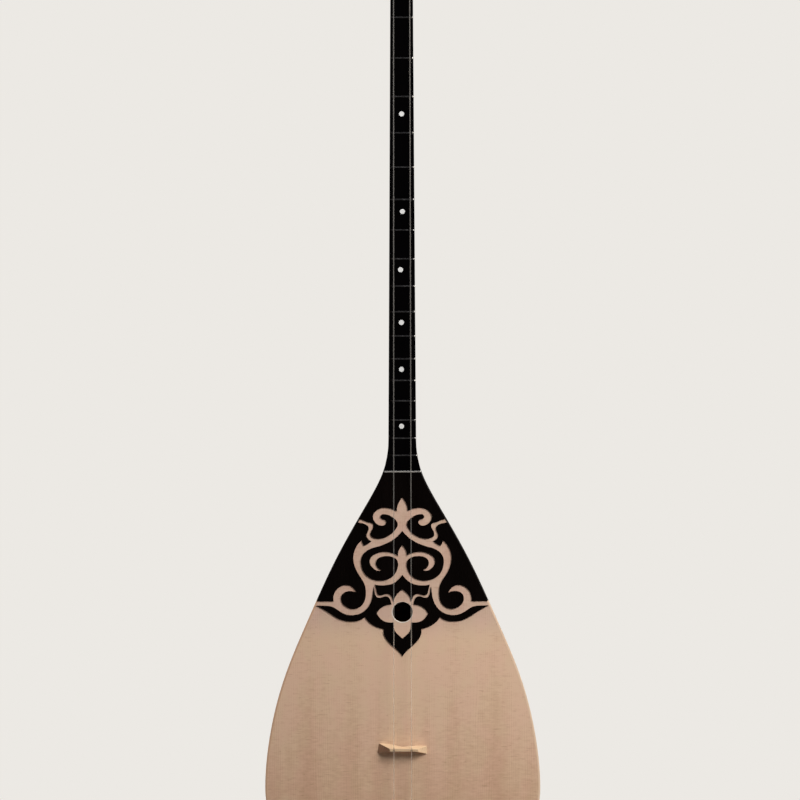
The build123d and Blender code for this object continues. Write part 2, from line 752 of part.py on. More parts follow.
with BuildPart() as lower_saddle:
    saddle_low, saddle_high = SADDLE_Z
    with BuildSketch(front(GLUE_HEIGHT)):
        with Locations((0, saddle_high)):
            Rectangle(SADDLE_WIDTH, saddle_high - saddle_low, align=(Align.CENTER, Align.MAX))
    extrude(amount=SADDLE_HEIGHT - GLUE_HEIGHT)
    string_edge = edges().filter_by(Axis.X).group_by(Axis.Z)[0].sort_by(Axis.Y)[0]
    fillet(string_edge, SADDLE_ROUND)
    upper_edge = edges().filter_by(Axis.X).group_by(Axis.Z)[-1].sort_by(Axis.Y)[0]
    fillet(upper_edge, 0.8)
finish("lower_saddle", lower_saddle)

with BuildPart() as tail_button:
    with BuildSketch(Plane(origin=(0, BUTTON_Y, BUTTON_BASE_Z), x_dir=(1, 0, 0), z_dir=(0, -1, 0))):
        with BuildLine():
            Polyline(
                (0, BUTTON_SHANK_LENGTH),
                (BUTTON_SHANK_RADIUS, BUTTON_SHANK_LENGTH),
                (BUTTON_SHANK_RADIUS, -0.5),
                (6.5, -0.5),
                (6.5, -1.4),
            )
            ThreePointArc(
                (6.5, -1.4), (BUTTON_WAIST_RADIUS, BUTTON_WAIST_Z), (BUTTON_HEAD_RADIUS, -7.0)
            )
            Line((BUTTON_HEAD_RADIUS, -7.0), (BUTTON_HEAD_RADIUS, -11.0))
            RadiusArc((BUTTON_HEAD_RADIUS, -11.0), (BUTTON_HEAD_RADIUS - 2.5, -13.5), 2.5)
            Polyline((BUTTON_HEAD_RADIUS - 2.5, -13.5), (0, -13.5), (0, BUTTON_SHANK_LENGTH))
        make_face()
    revolve(axis=Axis((0, BUTTON_Y, 0), (0, 0, 1)))
finish("tail_button", tail_button)

LOOP_Z = BUTTON_BASE_Z + BUTTON_WAIST_Z
LOOP_RADIUS = BUTTON_WAIST_RADIUS + STRING_RADIUS
KNOT_RADIUS = 1.1
KNOT_Y = BUTTON_Y - 3.4
KNOT_SPREAD = LOOP_RADIUS + 0.3

with BuildPart() as tail_loop:
    with BuildSketch(Plane(origin=(0, BUTTON_Y, LOOP_Z), x_dir=(1, 0, 0), z_dir=(0, -1, 0))):
        with Locations((LOOP_RADIUS + 0.05, 0)):
            Circle(STRING_RADIUS)
    revolve(axis=Axis((0, BUTTON_Y, 0), (0, 0, 1)))
    for side in (-1, 1):
        with Locations((side * KNOT_SPREAD, KNOT_Y, LOOP_Z)):
            Sphere(KNOT_RADIUS)
finish("tail_loop", tail_loop)

# ---- pegs and the string wound on them ------------------------------------------------------------

KNOB_CENTRE = 36.0
KNOB_THICKNESS = 7.6
KNOB_ROUND = 2.4

for name, place in PEG_PLACES.items():
    v, side = place
    with BuildPart() as peg:
        knob_origin = head_point(side * KNOB_CENTRE, v, -PEG_SINK)
        with BuildSketch(Plane(origin=knob_origin, x_dir=(side, 0, 0), z_dir=HEAD_OUT)):
            with BuildLine():
                Spline(
                    (-12.5, 0), (-8.5, 5.6), (2.0, 9.4), (10.5, 6.4), (13.0, 0),
                    tangents=[(0, 1), (0, -1)],
                    tangent_scalars=UNIT_SPEED,
                )
                Line((13.0, 0), (-12.5, 0))
            make_face()
            mirror(about=Plane.XZ)
        extrude(amount=KNOB_THICKNESS / 2, both=True)
        fillet(edges().filter_by(lambda edge: edge.length > KNOB_THICKNESS + 1), KNOB_ROUND)
        with BuildSketch(peg_plane(place)):
            add(peg_shank(-PEG_TIP, PEG_SHOULDER))
            with BuildLine():
                Polyline((PEG_SHOULDER, 0), (PEG_SHOULDER, 4.5), (PEG_SHOULDER + 0.6, 5.6))
                Spline(
                    (PEG_SHOULDER + 0.6, 5.6), (PEG_SHOULDER + 3.2, 4.4), (KNOB_CENTRE - 8, 3.2),
                    tangents=[(0.6, 0.2), (1, 0)],
                    tangent_scalars=UNIT_SPEED,
                )
                Polyline((KNOB_CENTRE - 8, 3.2), (KNOB_CENTRE - 2, 3.2), (KNOB_CENTRE - 2, 0))
                Line((KNOB_CENTRE - 2, 0), (PEG_SHOULDER, 0))
            make_face()
        revolve(axis=peg_axis(place))
        hole_plane = Plane(
            origin=head_point(side * WINDING_LANE, v, -PEG_SINK), x_dir=(1, 0, 0), z_dir=HEAD_UP
        )
        with BuildSketch(hole_plane):
            Circle(0.7)
        extrude(amount=2 * PEG_RADIUS, both=True, mode=Mode.SUBTRACT)
    finish(f"peg_{name}", peg)

    with BuildPart() as winding:
        first_turn = WINDING_LANE - WINDING_TURNS * WINDING_PITCH
        last_turn = WINDING_LANE - WINDING_PITCH
        inside = peg_radius_at(last_turn + STRING_RADIUS) + 0.01
        with BuildSketch(peg_plane(place)):
            with Locations(((first_turn + last_turn) / 2, inside)):
                Rectangle(
                    last_turn - first_turn,
                    STRING_RADIUS * 1.2,
                    align=(Align.CENTER, Align.MIN),
                )
            turns = [first_turn + turn * WINDING_PITCH for turn in range(WINDING_TURNS)]
            with Locations(*[(x, inside + 1.1 * STRING_RADIUS) for x in turns]):
                Circle(1.1 * STRING_RADIUS)
        revolve(axis=peg_axis(place))
    finish(f"winding_{name}", winding)

# ---- strings: peg, nut, bridge, saddle, knot ------------------------------------------------------

STRING_NUT_HEIGHT = NUT_STRING_HEIGHT + STRING_RADIUS + 0.05
SADDLE_STRING_HEIGHT = SADDLE_HEIGHT + STRING_RADIUS


def peg_tangent_point(place):
    """Where a string leaves its peg: the tangent from the nut to the string's circle on the peg."""
    v, side = place
    reach = peg_radius_at(WINDING_LANE) + STRING_RADIUS + 0.08
    height_over_glue = STRING_NUT_HEIGHT - GLUE_HEIGHT
    below_head = NUT_CREST_Z - NUT_LENGTH
    nut_v = below_head * cos(HEAD_TILT) - height_over_glue * sin(HEAD_TILT)
    nut_h = height_over_glue * cos(HEAD_TILT) + below_head * sin(HEAD_TILT)
    along, out = nut_v - v, nut_h + PEG_SINK
    turn = atan2(out, along) - acos(reach / hypot(along, out))
    return head_point(side * WINDING_LANE, v + reach * cos(turn), -PEG_SINK + reach * sin(turn))


for number, name in enumerate(("left", "right"), start=1):
    place = PEG_PLACES[name]
    side = place[1]
    corner = (side * BRIDGE_SPREAD, -SADDLE_STRING_HEIGHT, SADDLE_Z[0] - STRING_RADIUS)
    knot = (side * KNOT_SPREAD, KNOT_Y, LOOP_Z)
    last_run = Vector(*corner) - Vector(*knot)
    knot_edge = Vector(*knot) + last_run.normalized() * KNOT_RADIUS
    with BuildPart() as string:
        with BuildLine() as path:
            FilletPolyline(
                peg_tangent_point(place),
                (side * NUT_SPREAD, -STRING_NUT_HEIGHT, NUT_CREST_Z),
                (side * BRIDGE_SPREAD, -STRING_RISE, BRIDGE_Z),
                corner,
                knot_edge,
                radius=[4.0, 12.0, SADDLE_ROUND + STRING_RADIUS],
            )
        with BuildSketch(Plane(origin=path.line @ 0, z_dir=path.line % 0)):
            Circle(STRING_RADIUS)
        sweep(path=path.line)
    finish(f"string_{number}", string)
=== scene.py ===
import json
import math

import bmesh
import bpy
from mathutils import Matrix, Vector


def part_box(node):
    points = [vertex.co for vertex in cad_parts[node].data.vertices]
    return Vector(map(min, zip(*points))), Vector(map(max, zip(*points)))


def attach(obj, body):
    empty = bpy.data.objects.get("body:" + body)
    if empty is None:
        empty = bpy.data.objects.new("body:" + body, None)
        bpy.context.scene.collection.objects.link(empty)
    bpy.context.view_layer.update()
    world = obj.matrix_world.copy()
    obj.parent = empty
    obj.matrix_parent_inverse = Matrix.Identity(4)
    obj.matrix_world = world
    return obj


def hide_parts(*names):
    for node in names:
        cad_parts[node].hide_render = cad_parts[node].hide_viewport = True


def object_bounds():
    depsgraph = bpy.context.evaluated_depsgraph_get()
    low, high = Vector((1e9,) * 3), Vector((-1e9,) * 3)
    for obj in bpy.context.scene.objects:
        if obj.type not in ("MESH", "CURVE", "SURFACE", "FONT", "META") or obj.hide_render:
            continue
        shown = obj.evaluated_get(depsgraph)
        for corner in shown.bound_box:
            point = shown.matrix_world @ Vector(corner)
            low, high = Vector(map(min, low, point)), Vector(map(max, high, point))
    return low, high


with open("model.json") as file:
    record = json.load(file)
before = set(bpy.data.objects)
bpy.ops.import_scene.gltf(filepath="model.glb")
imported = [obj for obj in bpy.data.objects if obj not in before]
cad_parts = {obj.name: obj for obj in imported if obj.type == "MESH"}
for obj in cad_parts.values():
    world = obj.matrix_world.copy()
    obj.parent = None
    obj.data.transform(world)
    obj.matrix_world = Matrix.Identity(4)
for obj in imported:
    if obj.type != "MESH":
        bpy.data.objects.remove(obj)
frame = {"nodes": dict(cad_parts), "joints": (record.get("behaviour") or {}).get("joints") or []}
CAD_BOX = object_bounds()
NODES = frame["nodes"]
JOINTS = {joint["name"]: joint for joint in frame["joints"]}
BODY = "body"

# All sizes are in metres. +Z runs up the neck, and the strings face -Y.
# Places and sizes of the CAD that the nodes' boxes don't give:
SOUND_HOLE_Z = -0.5284
SOUND_HOLE_RADIUS = 0.0080
OVERLAY_FOOT_Z = -0.5195     # where the overlay's sides end at the body's edge
BODY_CENTRE_Z = -0.62
SADDLE_NOTCH_HALF = 0.0130   # half the width of the soundboard's notch for the lower saddle
STRING_RADIUS = 0.000425
STRING_OUT = 0.00685         # from the middle to each string, at the bridge and the saddle
SADDLE_EXIT = (-0.0183, -0.7565)    # Y and Z where the strings leave the saddle for the button


# ---- node helpers --------------------------------------------------------------------------------

def linear(red, green, blue):
    """A colour as seen on a screen, 0 to 255, as the renderer's linear RGBA."""
    def one(value):
        value /= 255.0
        return value / 12.92 if value <= 0.04045 else ((value + 0.055) / 1.055) ** 2.4
    return (one(red), one(green), one(blue), 1.0)


class Graph:
    """The node tree of a material or world, with short ways to add what is used here."""

    def __init__(self, owner):
        owner.use_nodes = True
        self.owner = owner
        self.tree = owner.node_tree
        self.tree.nodes.clear()
        self.seat = self.node("ShaderNodeTexCoord").outputs
        self.place = self.seat["Object"]

    def node(self, kind, inputs=None, **settings):
        made = self.tree.nodes.new(kind)
        for key, value in settings.items():
            setattr(made, key, value)
        for key, value in (inputs or {}).items():
            if isinstance(value, bpy.types.NodeSocket):
                self.tree.links.new(value, made.inputs[key])
            else:
                made.inputs[key].default_value = value
        return made

    def math(self, operation, a, b=0.0, clamp=False):
        return self.node("ShaderNodeMath", {0: a, 1: b}, operation=operation, use_clamp=clamp).outputs[0]

    def times(self, a, b):
        return self.math("MULTIPLY", a, b)

    def parts(self, vector):
        return self.node("ShaderNodeSeparateXYZ", {0: vector}).outputs

    def height(self):
        """How far up the neck the point is."""
        return self.parts(self.place)[2]

    def frontness(self):
        """How squarely the surface faces the front or the back, from 0 to 1."""
        return self.math("ABSOLUTE", self.parts(self.seat["Normal"])[1])

    def stretched(self, sizes, shift=(0.0, 0.0, 0.0), vector=None):
        """Object coordinates in which a feature of these sizes, in metres, is one unit large."""
        return self.node("ShaderNodeMapping", {
            "Vector": vector or self.place,
            "Location": shift,
            "Scale": tuple(1.0 / size for size in sizes),
        }).outputs[0]

    def noise(self, vector, detail, roughness=0.5, distortion=0.0):
        return self.node("ShaderNodeTexNoise", {
            "Vector": vector, "Scale": 1.0, "Detail": detail,
            "Roughness": roughness, "Distortion": distortion,
        }).outputs["Fac"]

    def cells(self, vector):
        return self.node("ShaderNodeTexVoronoi", {"Vector": vector, "Scale": 1.0}).outputs["Distance"]

    def step(self, value, low, high, to_low=0.0, to_high=1.0):
        """Smooth step from to_low, at low, to to_high, at high."""
        return self.node("ShaderNodeMapRange", {
            "Value": value, "From Min": low, "From Max": high,
            "To Min": to_low, "To Max": to_high,
        }, interpolation_type="SMOOTHSTEP").outputs[0]

    def fall(self, value, low, high):
        """Smooth step down, from 1 at low to 0 at high."""
        return self.step(value, low, high, 1.0, 0.0)

    def ramp(self, value, stops):
        made = self.node("ShaderNodeValToRGB", {"Fac": value})
        elements = made.color_ramp.elements
        while len(elements) < len(stops):
            elements.new(0.5)
        for element, (position, colour) in zip(elements, stops):
            element.position = position
            element.color = colour
        return made.outputs["Color"]

    def mix(self, share, a, b, blend="MIX"):
        """The colour a, with b in its place or blended with it where share is 1."""
        return self.node("ShaderNodeMix", {"Factor": share, 6: a, 7: b},
                         data_type="RGBA", blend_type=blend).outputs[2]

    def tinted(self, colour, tint):
        return self.mix(1.0, colour, tint, "MULTIPLY")

    def weigh(self, *pairs, middle=0.5):
        """middle plus the sum of weight times how far each 0 to 1 value is from a half."""
        total = middle
        for value, weight in pairs:
            swing = self.times(self.math("SUBTRACT", value, 0.5), weight)
            total = self.math("ADD", swing, total)
        return total

    def surface(self, colour, roughness, height, depth, **sockets):
        """End the material: its colour and roughness, and a bump of this depth from height."""
        bump = self.node("ShaderNodeBump", {"Strength": 1.0, "Distance": depth, "Height": height})
        inputs = {"Base Color": colour, "Roughness": roughness, "Normal": bump.outputs[0]}
        inputs.update({key.replace("_", " "): value for key, value in sockets.items()})
        shader = self.node("ShaderNodeBsdfPrincipled", inputs)
        self.node("ShaderNodeOutputMaterial", {"Surface": shader.outputs[0]})
        return self.owner


def new_material(name):
    return Graph(bpy.data.materials.new(name))


# ---- woods ---------------------------------------------------------------------------------------

BRIDGE_WAIST = (0.0090, 0.0105)     # how far out the painted shade on the bridge's lower edge reaches
NOTCH_REACH = (0.0005, 0.0010)      # how far the painted shade in each string notch spreads from the string
CREST_Y = (-0.0243, -0.0238)        # the bridge's top edge, on which the strings rest
CREST_Z = (-0.6347, -0.6341)


def paint_bridge_shade(g, colour):
    """Painted shade on the bridge: a darker left end, a dark lower edge, and dark string notches."""
    x, y, z = g.parts(g.place)
    facing = g.parts(g.seat["Normal"])
    out = g.math("ABSOLUTE", x)
    # painted shade: the left-facing end is darkened, as it faces away from the key light
    left_end_shade = g.times(g.fall(facing[0], -0.6, -0.3), 0.9)
    colour = g.mix(left_end_shade, colour, g.tinted(colour, (0.50, 0.36, 0.34, 1.0)))
    # painted shade on the downward-facing lower edge, near the middle
    lower_edge_shade = g.times(g.fall(facing[2], -0.9, -0.6), g.fall(out, *BRIDGE_WAIST))
    from_string = g.math("ABSOLUTE", g.math("SUBTRACT", out, STRING_OUT))
    # painted shade in the string notches on the crest
    crest = g.times(g.fall(y, *CREST_Y), g.fall(z, *CREST_Z))
    notch = g.times(g.fall(from_string, *NOTCH_REACH), crest)
    # the painted shade takes the colour below
    darkening = g.math("MAXIMUM", g.times(lower_edge_shade, 0.85), g.times(notch, 0.8))
    return g.mix(darkening, colour, linear(58, 40, 22))


def growth_rings(g, x, y, wander, swell, ring):
    """Lines of late wood, 0 at their darkest and 1 between them, which wander along the board."""
    across = g.math("ADD", x, g.times(g.math("SUBTRACT", wander, 0.5), ring * 9))
    across = g.math("ADD", across, g.times(y, 0.35))
    across = g.math("ADD", across, g.times(swell, ring * 4))
    phase = g.math("FRACT", g.math("DIVIDE", across, ring))
    late = g.step(phase, 0.45, 0.92)
    after = g.step(phase, 0.94, 1.0)
    return g.math("SUBTRACT", 1.0, g.math("SUBTRACT", late, after, clamp=True))


def wood(name, tones, ring, rings, fibre, broad, roughness, relief=2e-5, along="Z",
         shift=(0.0, 0.0, 0.0), mirrored=False, figure=0.0, figure_size=0.0, silk=0.0, mottle=0.0,
         fleck=0.0, fades=(), middle=0.5, blush=False, tint=None, bridge_shade=False,
         black_above=None, **sockets):
    """Sawn or bent wood, its tones from the darkest to the palest; ring is the annual ring's width.

    rings, fibre, broad, figure, silk, mottle and fleck are how strongly each pattern shows.
    figure_size is the width of the figure's waves along the board.
    fades are (low, high, weight): paler by weight, or darker, from the one height to the other.
    tint is (low, high, colour): multiplied by the colour above the one height to the other.
    black_above is the height above which the wood is stained black.
    """
    g = new_material(name)
    x, y, z = g.parts(g.place)
    if along == "X":
        x, y, z = y, z, x
    if mirrored:
        x = g.math("ABSOLUTE", x)
    place = g.node("ShaderNodeCombineXYZ", {0: x, 1: y, 2: z}).outputs[0]

    wander = g.noise(g.stretched((0.03, 0.03, 0.25), shift, place), detail=3)
    swell = g.noise(g.stretched((0.012, 0.012, 0.5), shift, place), detail=1)
    line = growth_rings(g, x, y, wander, swell, ring)
    fibres = g.noise(g.stretched((0.00028, 0.00028, 0.016), shift, place), detail=3, roughness=0.6)
    bands = g.noise(g.stretched((0.021, 0.021, 0.34), shift, place), detail=3, roughness=0.55)
    patterns = [(line, rings), (fibres, fibre), (bands, broad)]
    if figure:
        across_grain = g.stretched((0.030, 0.030, figure_size), shift, place)
        waves = g.noise(across_grain, detail=2, distortion=0.35)
        patches = g.noise(g.stretched((0.05, 0.05, 0.07), shift, place), detail=1)
        strength = g.times(g.step(patches, 0.25, 0.7), figure)
        patterns.append((g.step(waves, 0.32, 0.68), strength))
    if silk:
        streaks = g.noise(g.stretched((0.0075, 0.0075, 0.0008), shift), detail=2)
        patterns.append((g.math("SUBTRACT", 1.0, g.step(streaks, 0.58, 0.78)), silk))
    if mottle:
        dabs = g.noise(g.stretched((0.0046, 0.0046, 0.0014), shift), detail=2)
        patterns.append((dabs, mottle))
    if fleck:
        spots = g.cells(g.stretched((0.0085, 0.0085, 0.0046), shift))
        patterns.append((g.step(spots, 0.04, 0.15), fleck))
    for low, high, weight in fades:
        patterns.append((g.step(g.height(), low, high, 0.5, 1.0), weight))

    last = len(tones) - 1
    tone = g.weigh(*patterns, middle=middle)
    colour = g.ramp(tone, [(i / last, tone_colour) for i, tone_colour in enumerate(tones)])
    if blush:
        patches = g.noise(g.stretched((0.016, 0.016, 0.028), shift), detail=2)
        greener = g.tinted(colour, (0.984, 1.0, 0.980, 1.0))
        pinker = g.tinted(colour, (1.0, 0.974, 0.990, 1.0))
        colour = g.mix(g.step(patches, 0.36, 0.64), greener, pinker)
    if tint:
        low, high, tint_colour = tint
        colour = g.mix(g.step(g.height(), low, high), colour, g.tinted(colour, tint_colour))
    # painted shade on the bridge's left end, lower edge and string notches
    if bridge_shade:
        colour = paint_bridge_shade(g, colour)
    if black_above is not None:
        stained = g.step(g.height(), black_above - 0.0003, black_above + 0.0003)
        colour = g.mix(stained, colour, linear(9, 4, 4))
    gloss = g.weigh((fibres, 0.16), middle=roughness)
    return g.surface(colour, gloss, g.weigh((fibres, 0.8), (line, 0.5)), relief, **sockets)


def binding_wood(name, tones):
    """Maple, stained black along the overlay as far as its foot."""
    return wood(name, tones, ring=0.0011, rings=0.15, fibre=0.25, broad=0.3,
                black_above=OVERLAY_FOOT_Z, roughness=0.5, Specular_IOR_Level=0.3)


def rib_wood(number):
    """Bent, varnished maple, figured across the rib; each rib is a board of its own."""
    warm = (number % 2) * 8
    return wood(
        f"maple_rib_{number}",
        [linear(92 + warm, 48, 20), linear(150 + warm, 88, 42), linear(186 + warm, 124, 68),
         linear(206 + warm, 150, 92)],
        ring=0.0032, shift=(number * 3.7, number * 1.9, number * 0.61),
        rings=0.18, fibre=0.22, broad=0.5, figure=0.62, figure_size=0.0036,
        roughness=0.34, relief=1.2e-5, Coat_Weight=0.7, Coat_Roughness=0.12,
    )


def rosewood(name, along):
    return wood(
        name, [linear(20, 12, 9), linear(46, 28, 20), linear(82, 50, 34)],
        ring=0.0011, along=along, rings=0.35, fibre=0.35, broad=0.5,
        roughness=0.28, relief=1e-5, Coat_Weight=0.6, Coat_Roughness=0.12,
    )


def black_wood(name, tones, edge, roughness, coat, specular):
    """Dark-stained fine wood, reddish brown where its edges are cut."""
    g = new_material(name)
    fibres = g.noise(g.stretched((0.0003, 0.0003, 0.012)), detail=3, roughness=0.6)
    clouds = g.noise(g.stretched((0.02, 0.02, 0.06)), detail=2)
    pores = g.noise(g.stretched((0.00022, 0.00022, 0.0026)), detail=1)
    tone = g.weigh((fibres, 0.5), (clouds, 0.5))
    face = g.ramp(tone, [(0.0, tones[0]), (0.6, tones[1]), (1.0, tones[2])])
    cut = g.ramp(fibres, [(0.0, linear(20, 8, 5)), (1.0, edge)])
    colour = g.mix(g.step(g.frontness(), 0.35, 0.8), cut, face)
    gloss = g.weigh((fibres, 0.12), (clouds, 0.10), middle=roughness)
    return g.surface(colour, gloss, g.weigh((pores, 0.6), (fibres, 0.5)), 5e-6,
                     Specular_IOR_Level=specular, Coat_Weight=coat, Coat_Roughness=0.3)


SOUNDBOARD = wood(
    "spruce_soundboard",
    [linear(180, 138, 106), linear(212, 172, 142), linear(228, 188, 158), linear(243, 208, 180)],
    ring=0.0013, mirrored=True, rings=0.16, fibre=0.30, broad=0.70,
    silk=0.36, mottle=0.55, fleck=0.24, middle=0.18, blush=True,
    # painted shade: the first fade darkens the board towards the tail, for the key light's fall-off; the
    # second darkens it above the rose
    fades=((-0.78, -0.50, 1.27), (-0.56, -0.50, -0.42)),
    tint=(-0.553, -0.528, (0.87, 0.88, 0.965, 1.0)),
    roughness=0.55, relief=2.5e-5, Specular_IOR_Level=0.3,
)
# The two bindings are one maple in shaded and lit copies: painted shade on the left, painted highlight
# on the right.
BINDING_SHADED_LEFT = binding_wood(
    "maple_binding_painted_shade_left", [linear(196, 156, 126), linear(220, 180, 150), linear(234, 194, 164)])
BINDING_LIT_RIGHT = binding_wood(
    "maple_binding_painted_highlight_right", [linear(250, 204, 168), linear(255, 222, 192), linear(255, 234, 212)])
BRIDGE = wood(
    "maple_bridge", [linear(188, 146, 106), linear(236, 202, 164), linear(250, 230, 202)],
    ring=0.0016, along="X", rings=0.22, fibre=0.5, broad=0.4, bridge_shade=True,
    roughness=0.6, relief=6e-5,
)
NECK = wood(
    "maple_neck", [linear(96, 54, 26), linear(152, 96, 52), linear(188, 130, 78)],
    ring=0.0022, rings=0.30, fibre=0.35, broad=0.6, figure=0.34, figure_size=0.0045,
    roughness=0.36, Coat_Weight=0.5, Coat_Roughness=0.18,
)
INNER = wood(
    "spruce_inside", [linear(178, 138, 92), linear(214, 178, 132), linear(232, 202, 160)],
    ring=0.0015, rings=0.5, fibre=0.3, broad=0.3, roughness=0.7,
)
PEG_WOOD = rosewood("rosewood_fittings", "X")
BUTTON_WOOD = rosewood("rosewood_button", "Z")
CAP = wood(
    "dark_tail_cap", [linear(26, 15, 10), linear(58, 36, 24), linear(88, 58, 38)],
    ring=0.0014, along="X", rings=0.35, fibre=0.3, broad=0.5,
    roughness=0.33, Coat_Weight=0.5, Coat_Roughness=0.15,
)
SPACER = wood(
    "dark_spacer", [linear(18, 11, 8), linear(42, 26, 18), linear(60, 38, 26)],
    ring=0.001, rings=0.3, fibre=0.4, broad=0.3,
    roughness=0.4, Coat_Weight=0.5, Coat_Roughness=0.18,
)
BOARD_BLACK = black_wood(
    "ebonised_board", [linear(1, 1, 1), linear(3, 2, 3), linear(11, 8, 8)], linear(40, 18, 12),
    roughness=0.25, coat=0.0, specular=0.07)
OVERLAY_BLACK = black_wood(
    "black_overlay", [linear(3, 1, 1), linear(8, 4, 3), linear(22, 11, 10)], linear(96, 48, 28),
    roughness=0.28, coat=0.0, specular=0.10)
VENEER_BLACK = black_wood(
    "dark_head_veneer", [linear(5, 3, 3), linear(26, 18, 14), linear(66, 44, 32)], linear(60, 30, 18),
    roughness=0.34, coat=0.35, specular=0.5)


# ---- metal, bone, pearl, string ------------------------------------------------------------------

def fret_metal(name, dull, plain, bright, roughness, dark_from=None, crown=False):
    """Nickel wire.

    dark_from: painted shade, near black from that far out, on the bass side only.
    crown: its own colour along the crown, and painted shade near black down its sides.
    """
    fade_width = 0.0012
    g = new_material(name)
    polish = g.noise(g.stretched((0.004, 0.0002, 0.00025)), detail=3)
    wear = g.noise(g.stretched((0.0018, 0.0018, 0.0018)), detail=3)
    colour = g.ramp(wear, [(0.25, dull), (0.6, plain), (0.8, bright)])
    # painted shade: near black metal on the sides and bass-side ends
    shade_black = linear(16, 13, 12)
    if crown:
        colour = g.mix(g.step(g.frontness(), 0.70, 0.92), shade_black, colour)
    if dark_from is not None:
        bass_side = g.fall(g.parts(g.place)[0], -dark_from - fade_width, -dark_from)
        colour = g.mix(bass_side, colour, shade_black)
    gloss = g.weigh((polish, 0.2), (wear, 0.2), middle=roughness)
    return g.surface(colour, gloss, polish, 4e-6, Metallic=1.0)


def bone(name, tones, **sockets):
    """Polished bone, cloudy and finely pored."""
    g = new_material(name)
    clouds = g.noise(g.stretched((0.006, 0.004, 0.004)), detail=3)
    pores = g.cells(g.stretched((0.0009, 0.0004, 0.0004)))
    tone = g.weigh((clouds, 0.7), (g.step(pores, 0.05, 0.2), 0.3))
    colour = g.ramp(tone, [(0.0, tones[0]), (0.55, tones[1]), (1.0, tones[2])])
    gloss = g.weigh((clouds, 0.2), middle=0.32)
    return g.surface(colour, gloss, g.step(pores, 0.05, 0.25), 8e-6, **sockets)


def pearl():
    """The dots' white pearl, in thin folded layers."""
    g = new_material("pearl_dot")
    layers = g.noise(g.stretched((0.0009, 0.0009, 0.0005)), detail=3, distortion=1.4)
    colour = g.ramp(layers, [(0.3, linear(224, 228, 230)), (0.5, linear(252, 254, 255)),
                             (0.7, linear(242, 242, 248))])
    gloss = g.weigh((layers, 0.2), middle=0.24)
    return g.surface(colour, gloss, layers, 3e-6, Coat_Weight=0.5, Coat_Roughness=0.1)


def nylon(name, tones, roughness, darker_above=None, **sockets):
    """Drawn nylon; given a (low, high, colour), multiplied by that colour from the one height to the
    other.
    """
    g = new_material(name)
    drawn = g.noise(g.stretched((0.0002, 0.0002, 0.006)), detail=2)
    colour = g.ramp(drawn, [(0.2, tones[0]), (0.8, tones[1])])
    if darker_above:
        low, high, darkening = darker_above
        colour = g.mix(g.step(g.height(), low, high), colour, g.tinted(colour, darkening))
    return g.surface(colour, g.weigh((drawn, 0.15), middle=roughness), drawn, 1e-6, **sockets)


# lit and shaded copies of one nickel: the plain frets darkened by painted shade, the last fret
# brightened by painted highlight; the fret ends near white on the treble side, a painted highlight, and
# near black on the bass side, a painted shade
FRET = fret_metal("nickel_fret", linear(48, 48, 51), linear(74, 74, 77), linear(98, 98, 101),
                  roughness=0.34, dark_from=0.0072, crown=True)
LAST_FRET = fret_metal("bright_last_fret", linear(205, 204, 204), linear(235, 234, 233),
                       linear(250, 249, 247), roughness=0.2, crown=True)
FRET_END = fret_metal("polished_fret_end_painted_light", linear(214, 212, 208), linear(244, 242, 238),
                      linear(255, 253, 250), roughness=0.14, dark_from=0.0)
BONE = bone("bone", [linear(186, 170, 132), linear(226, 216, 190), linear(240, 233, 214)],
            Subsurface_Weight=0.15, Subsurface_Scale=0.001)
# painted highlight: the lip's white stands in for the light on the sound hole's inner edge
LIP_PAINTED_HIGHLIGHT = bone("white_lip_painted_highlight", [linear(216, 200, 186), linear(240, 226, 212), linear(250, 240, 230)])
PEARL = pearl()
NYLON = nylon("wound_nylon", [linear(214, 212, 206), linear(246, 244, 238)], 0.22,
              Transmission_Weight=0.35, IOR=1.5)
CLEAR_NYLON = nylon("taut_nylon", [linear(250, 234, 218), linear(255, 244, 230)], 0.3,
                    # darker and greyer from the given heights up
                    darker_above=(-0.56, -0.52, (0.45, 0.49, 0.54, 1.0)),
                    Alpha=0.21, Specular_IOR_Level=0.55)

MATERIALS = {
    "neck": NECK, "head": NECK, "head_veneer": VENEER_BLACK, "nut": BONE,
    "fingerboard": BOARD_BLACK, "position_dots": PEARL, "fret_19": LAST_FRET,
    "soundboard_left": SOUNDBOARD, "soundboard_right": SOUNDBOARD,
    "edge_binding_left": BINDING_SHADED_LEFT, "edge_binding_right": BINDING_LIT_RIGHT,
    "rib_spacers": SPACER, "neck_block": INNER, "tail_block": INNER,
    "lining_left": INNER, "lining_right": INNER, "braces": INNER,
    "tail_cap": CAP, "lower_saddle": BONE, "tail_button": BUTTON_WOOD, "bridge": BRIDGE,
    "peg_left": PEG_WOOD, "peg_right": PEG_WOOD, "tail_loop": NYLON,
    "winding_left": NYLON, "winding_right": NYLON,
    "string_1": CLEAR_NYLON, "string_2": CLEAR_NYLON,
}
for number in range(1, 8):
    MATERIALS[f"rib_{number}"] = rib_wood(number)
for name in NODES:
    if name.startswith("fret_"):
        MATERIALS.setdefault(name, FRET)
    if name.startswith("overlay_"):
        MATERIALS[name] = OVERLAY_BLACK
for name, node in NODES.items():
    node.data.materials.clear()
    node.data.materials.append(MATERIALS[name])


# ---- modifiers on the carried-over parts, whose own vertices stay as they are ---------------------

def weld(name):
    """Join the corners that coincide, which also drops faces of no area."""
    made = NODES[name].modifiers.new("weld", "WELD")
    made.merge_threshold = 1e-6


def soften(name):
    """Round the sharp edges."""
    weld(name)
    bevel = NODES[name].modifiers.new("bevel", "BEVEL")
    bevel.width = 0.0003
    bevel.segments = 2
    bevel.limit_method = "ANGLE"
    bevel.angle_limit = math.radians(35)
    bevel.use_clamp_overlap = True
    shading = NODES[name].modifiers.new("shading", "WEIGHTED_NORMAL")
    shading.weight = 50


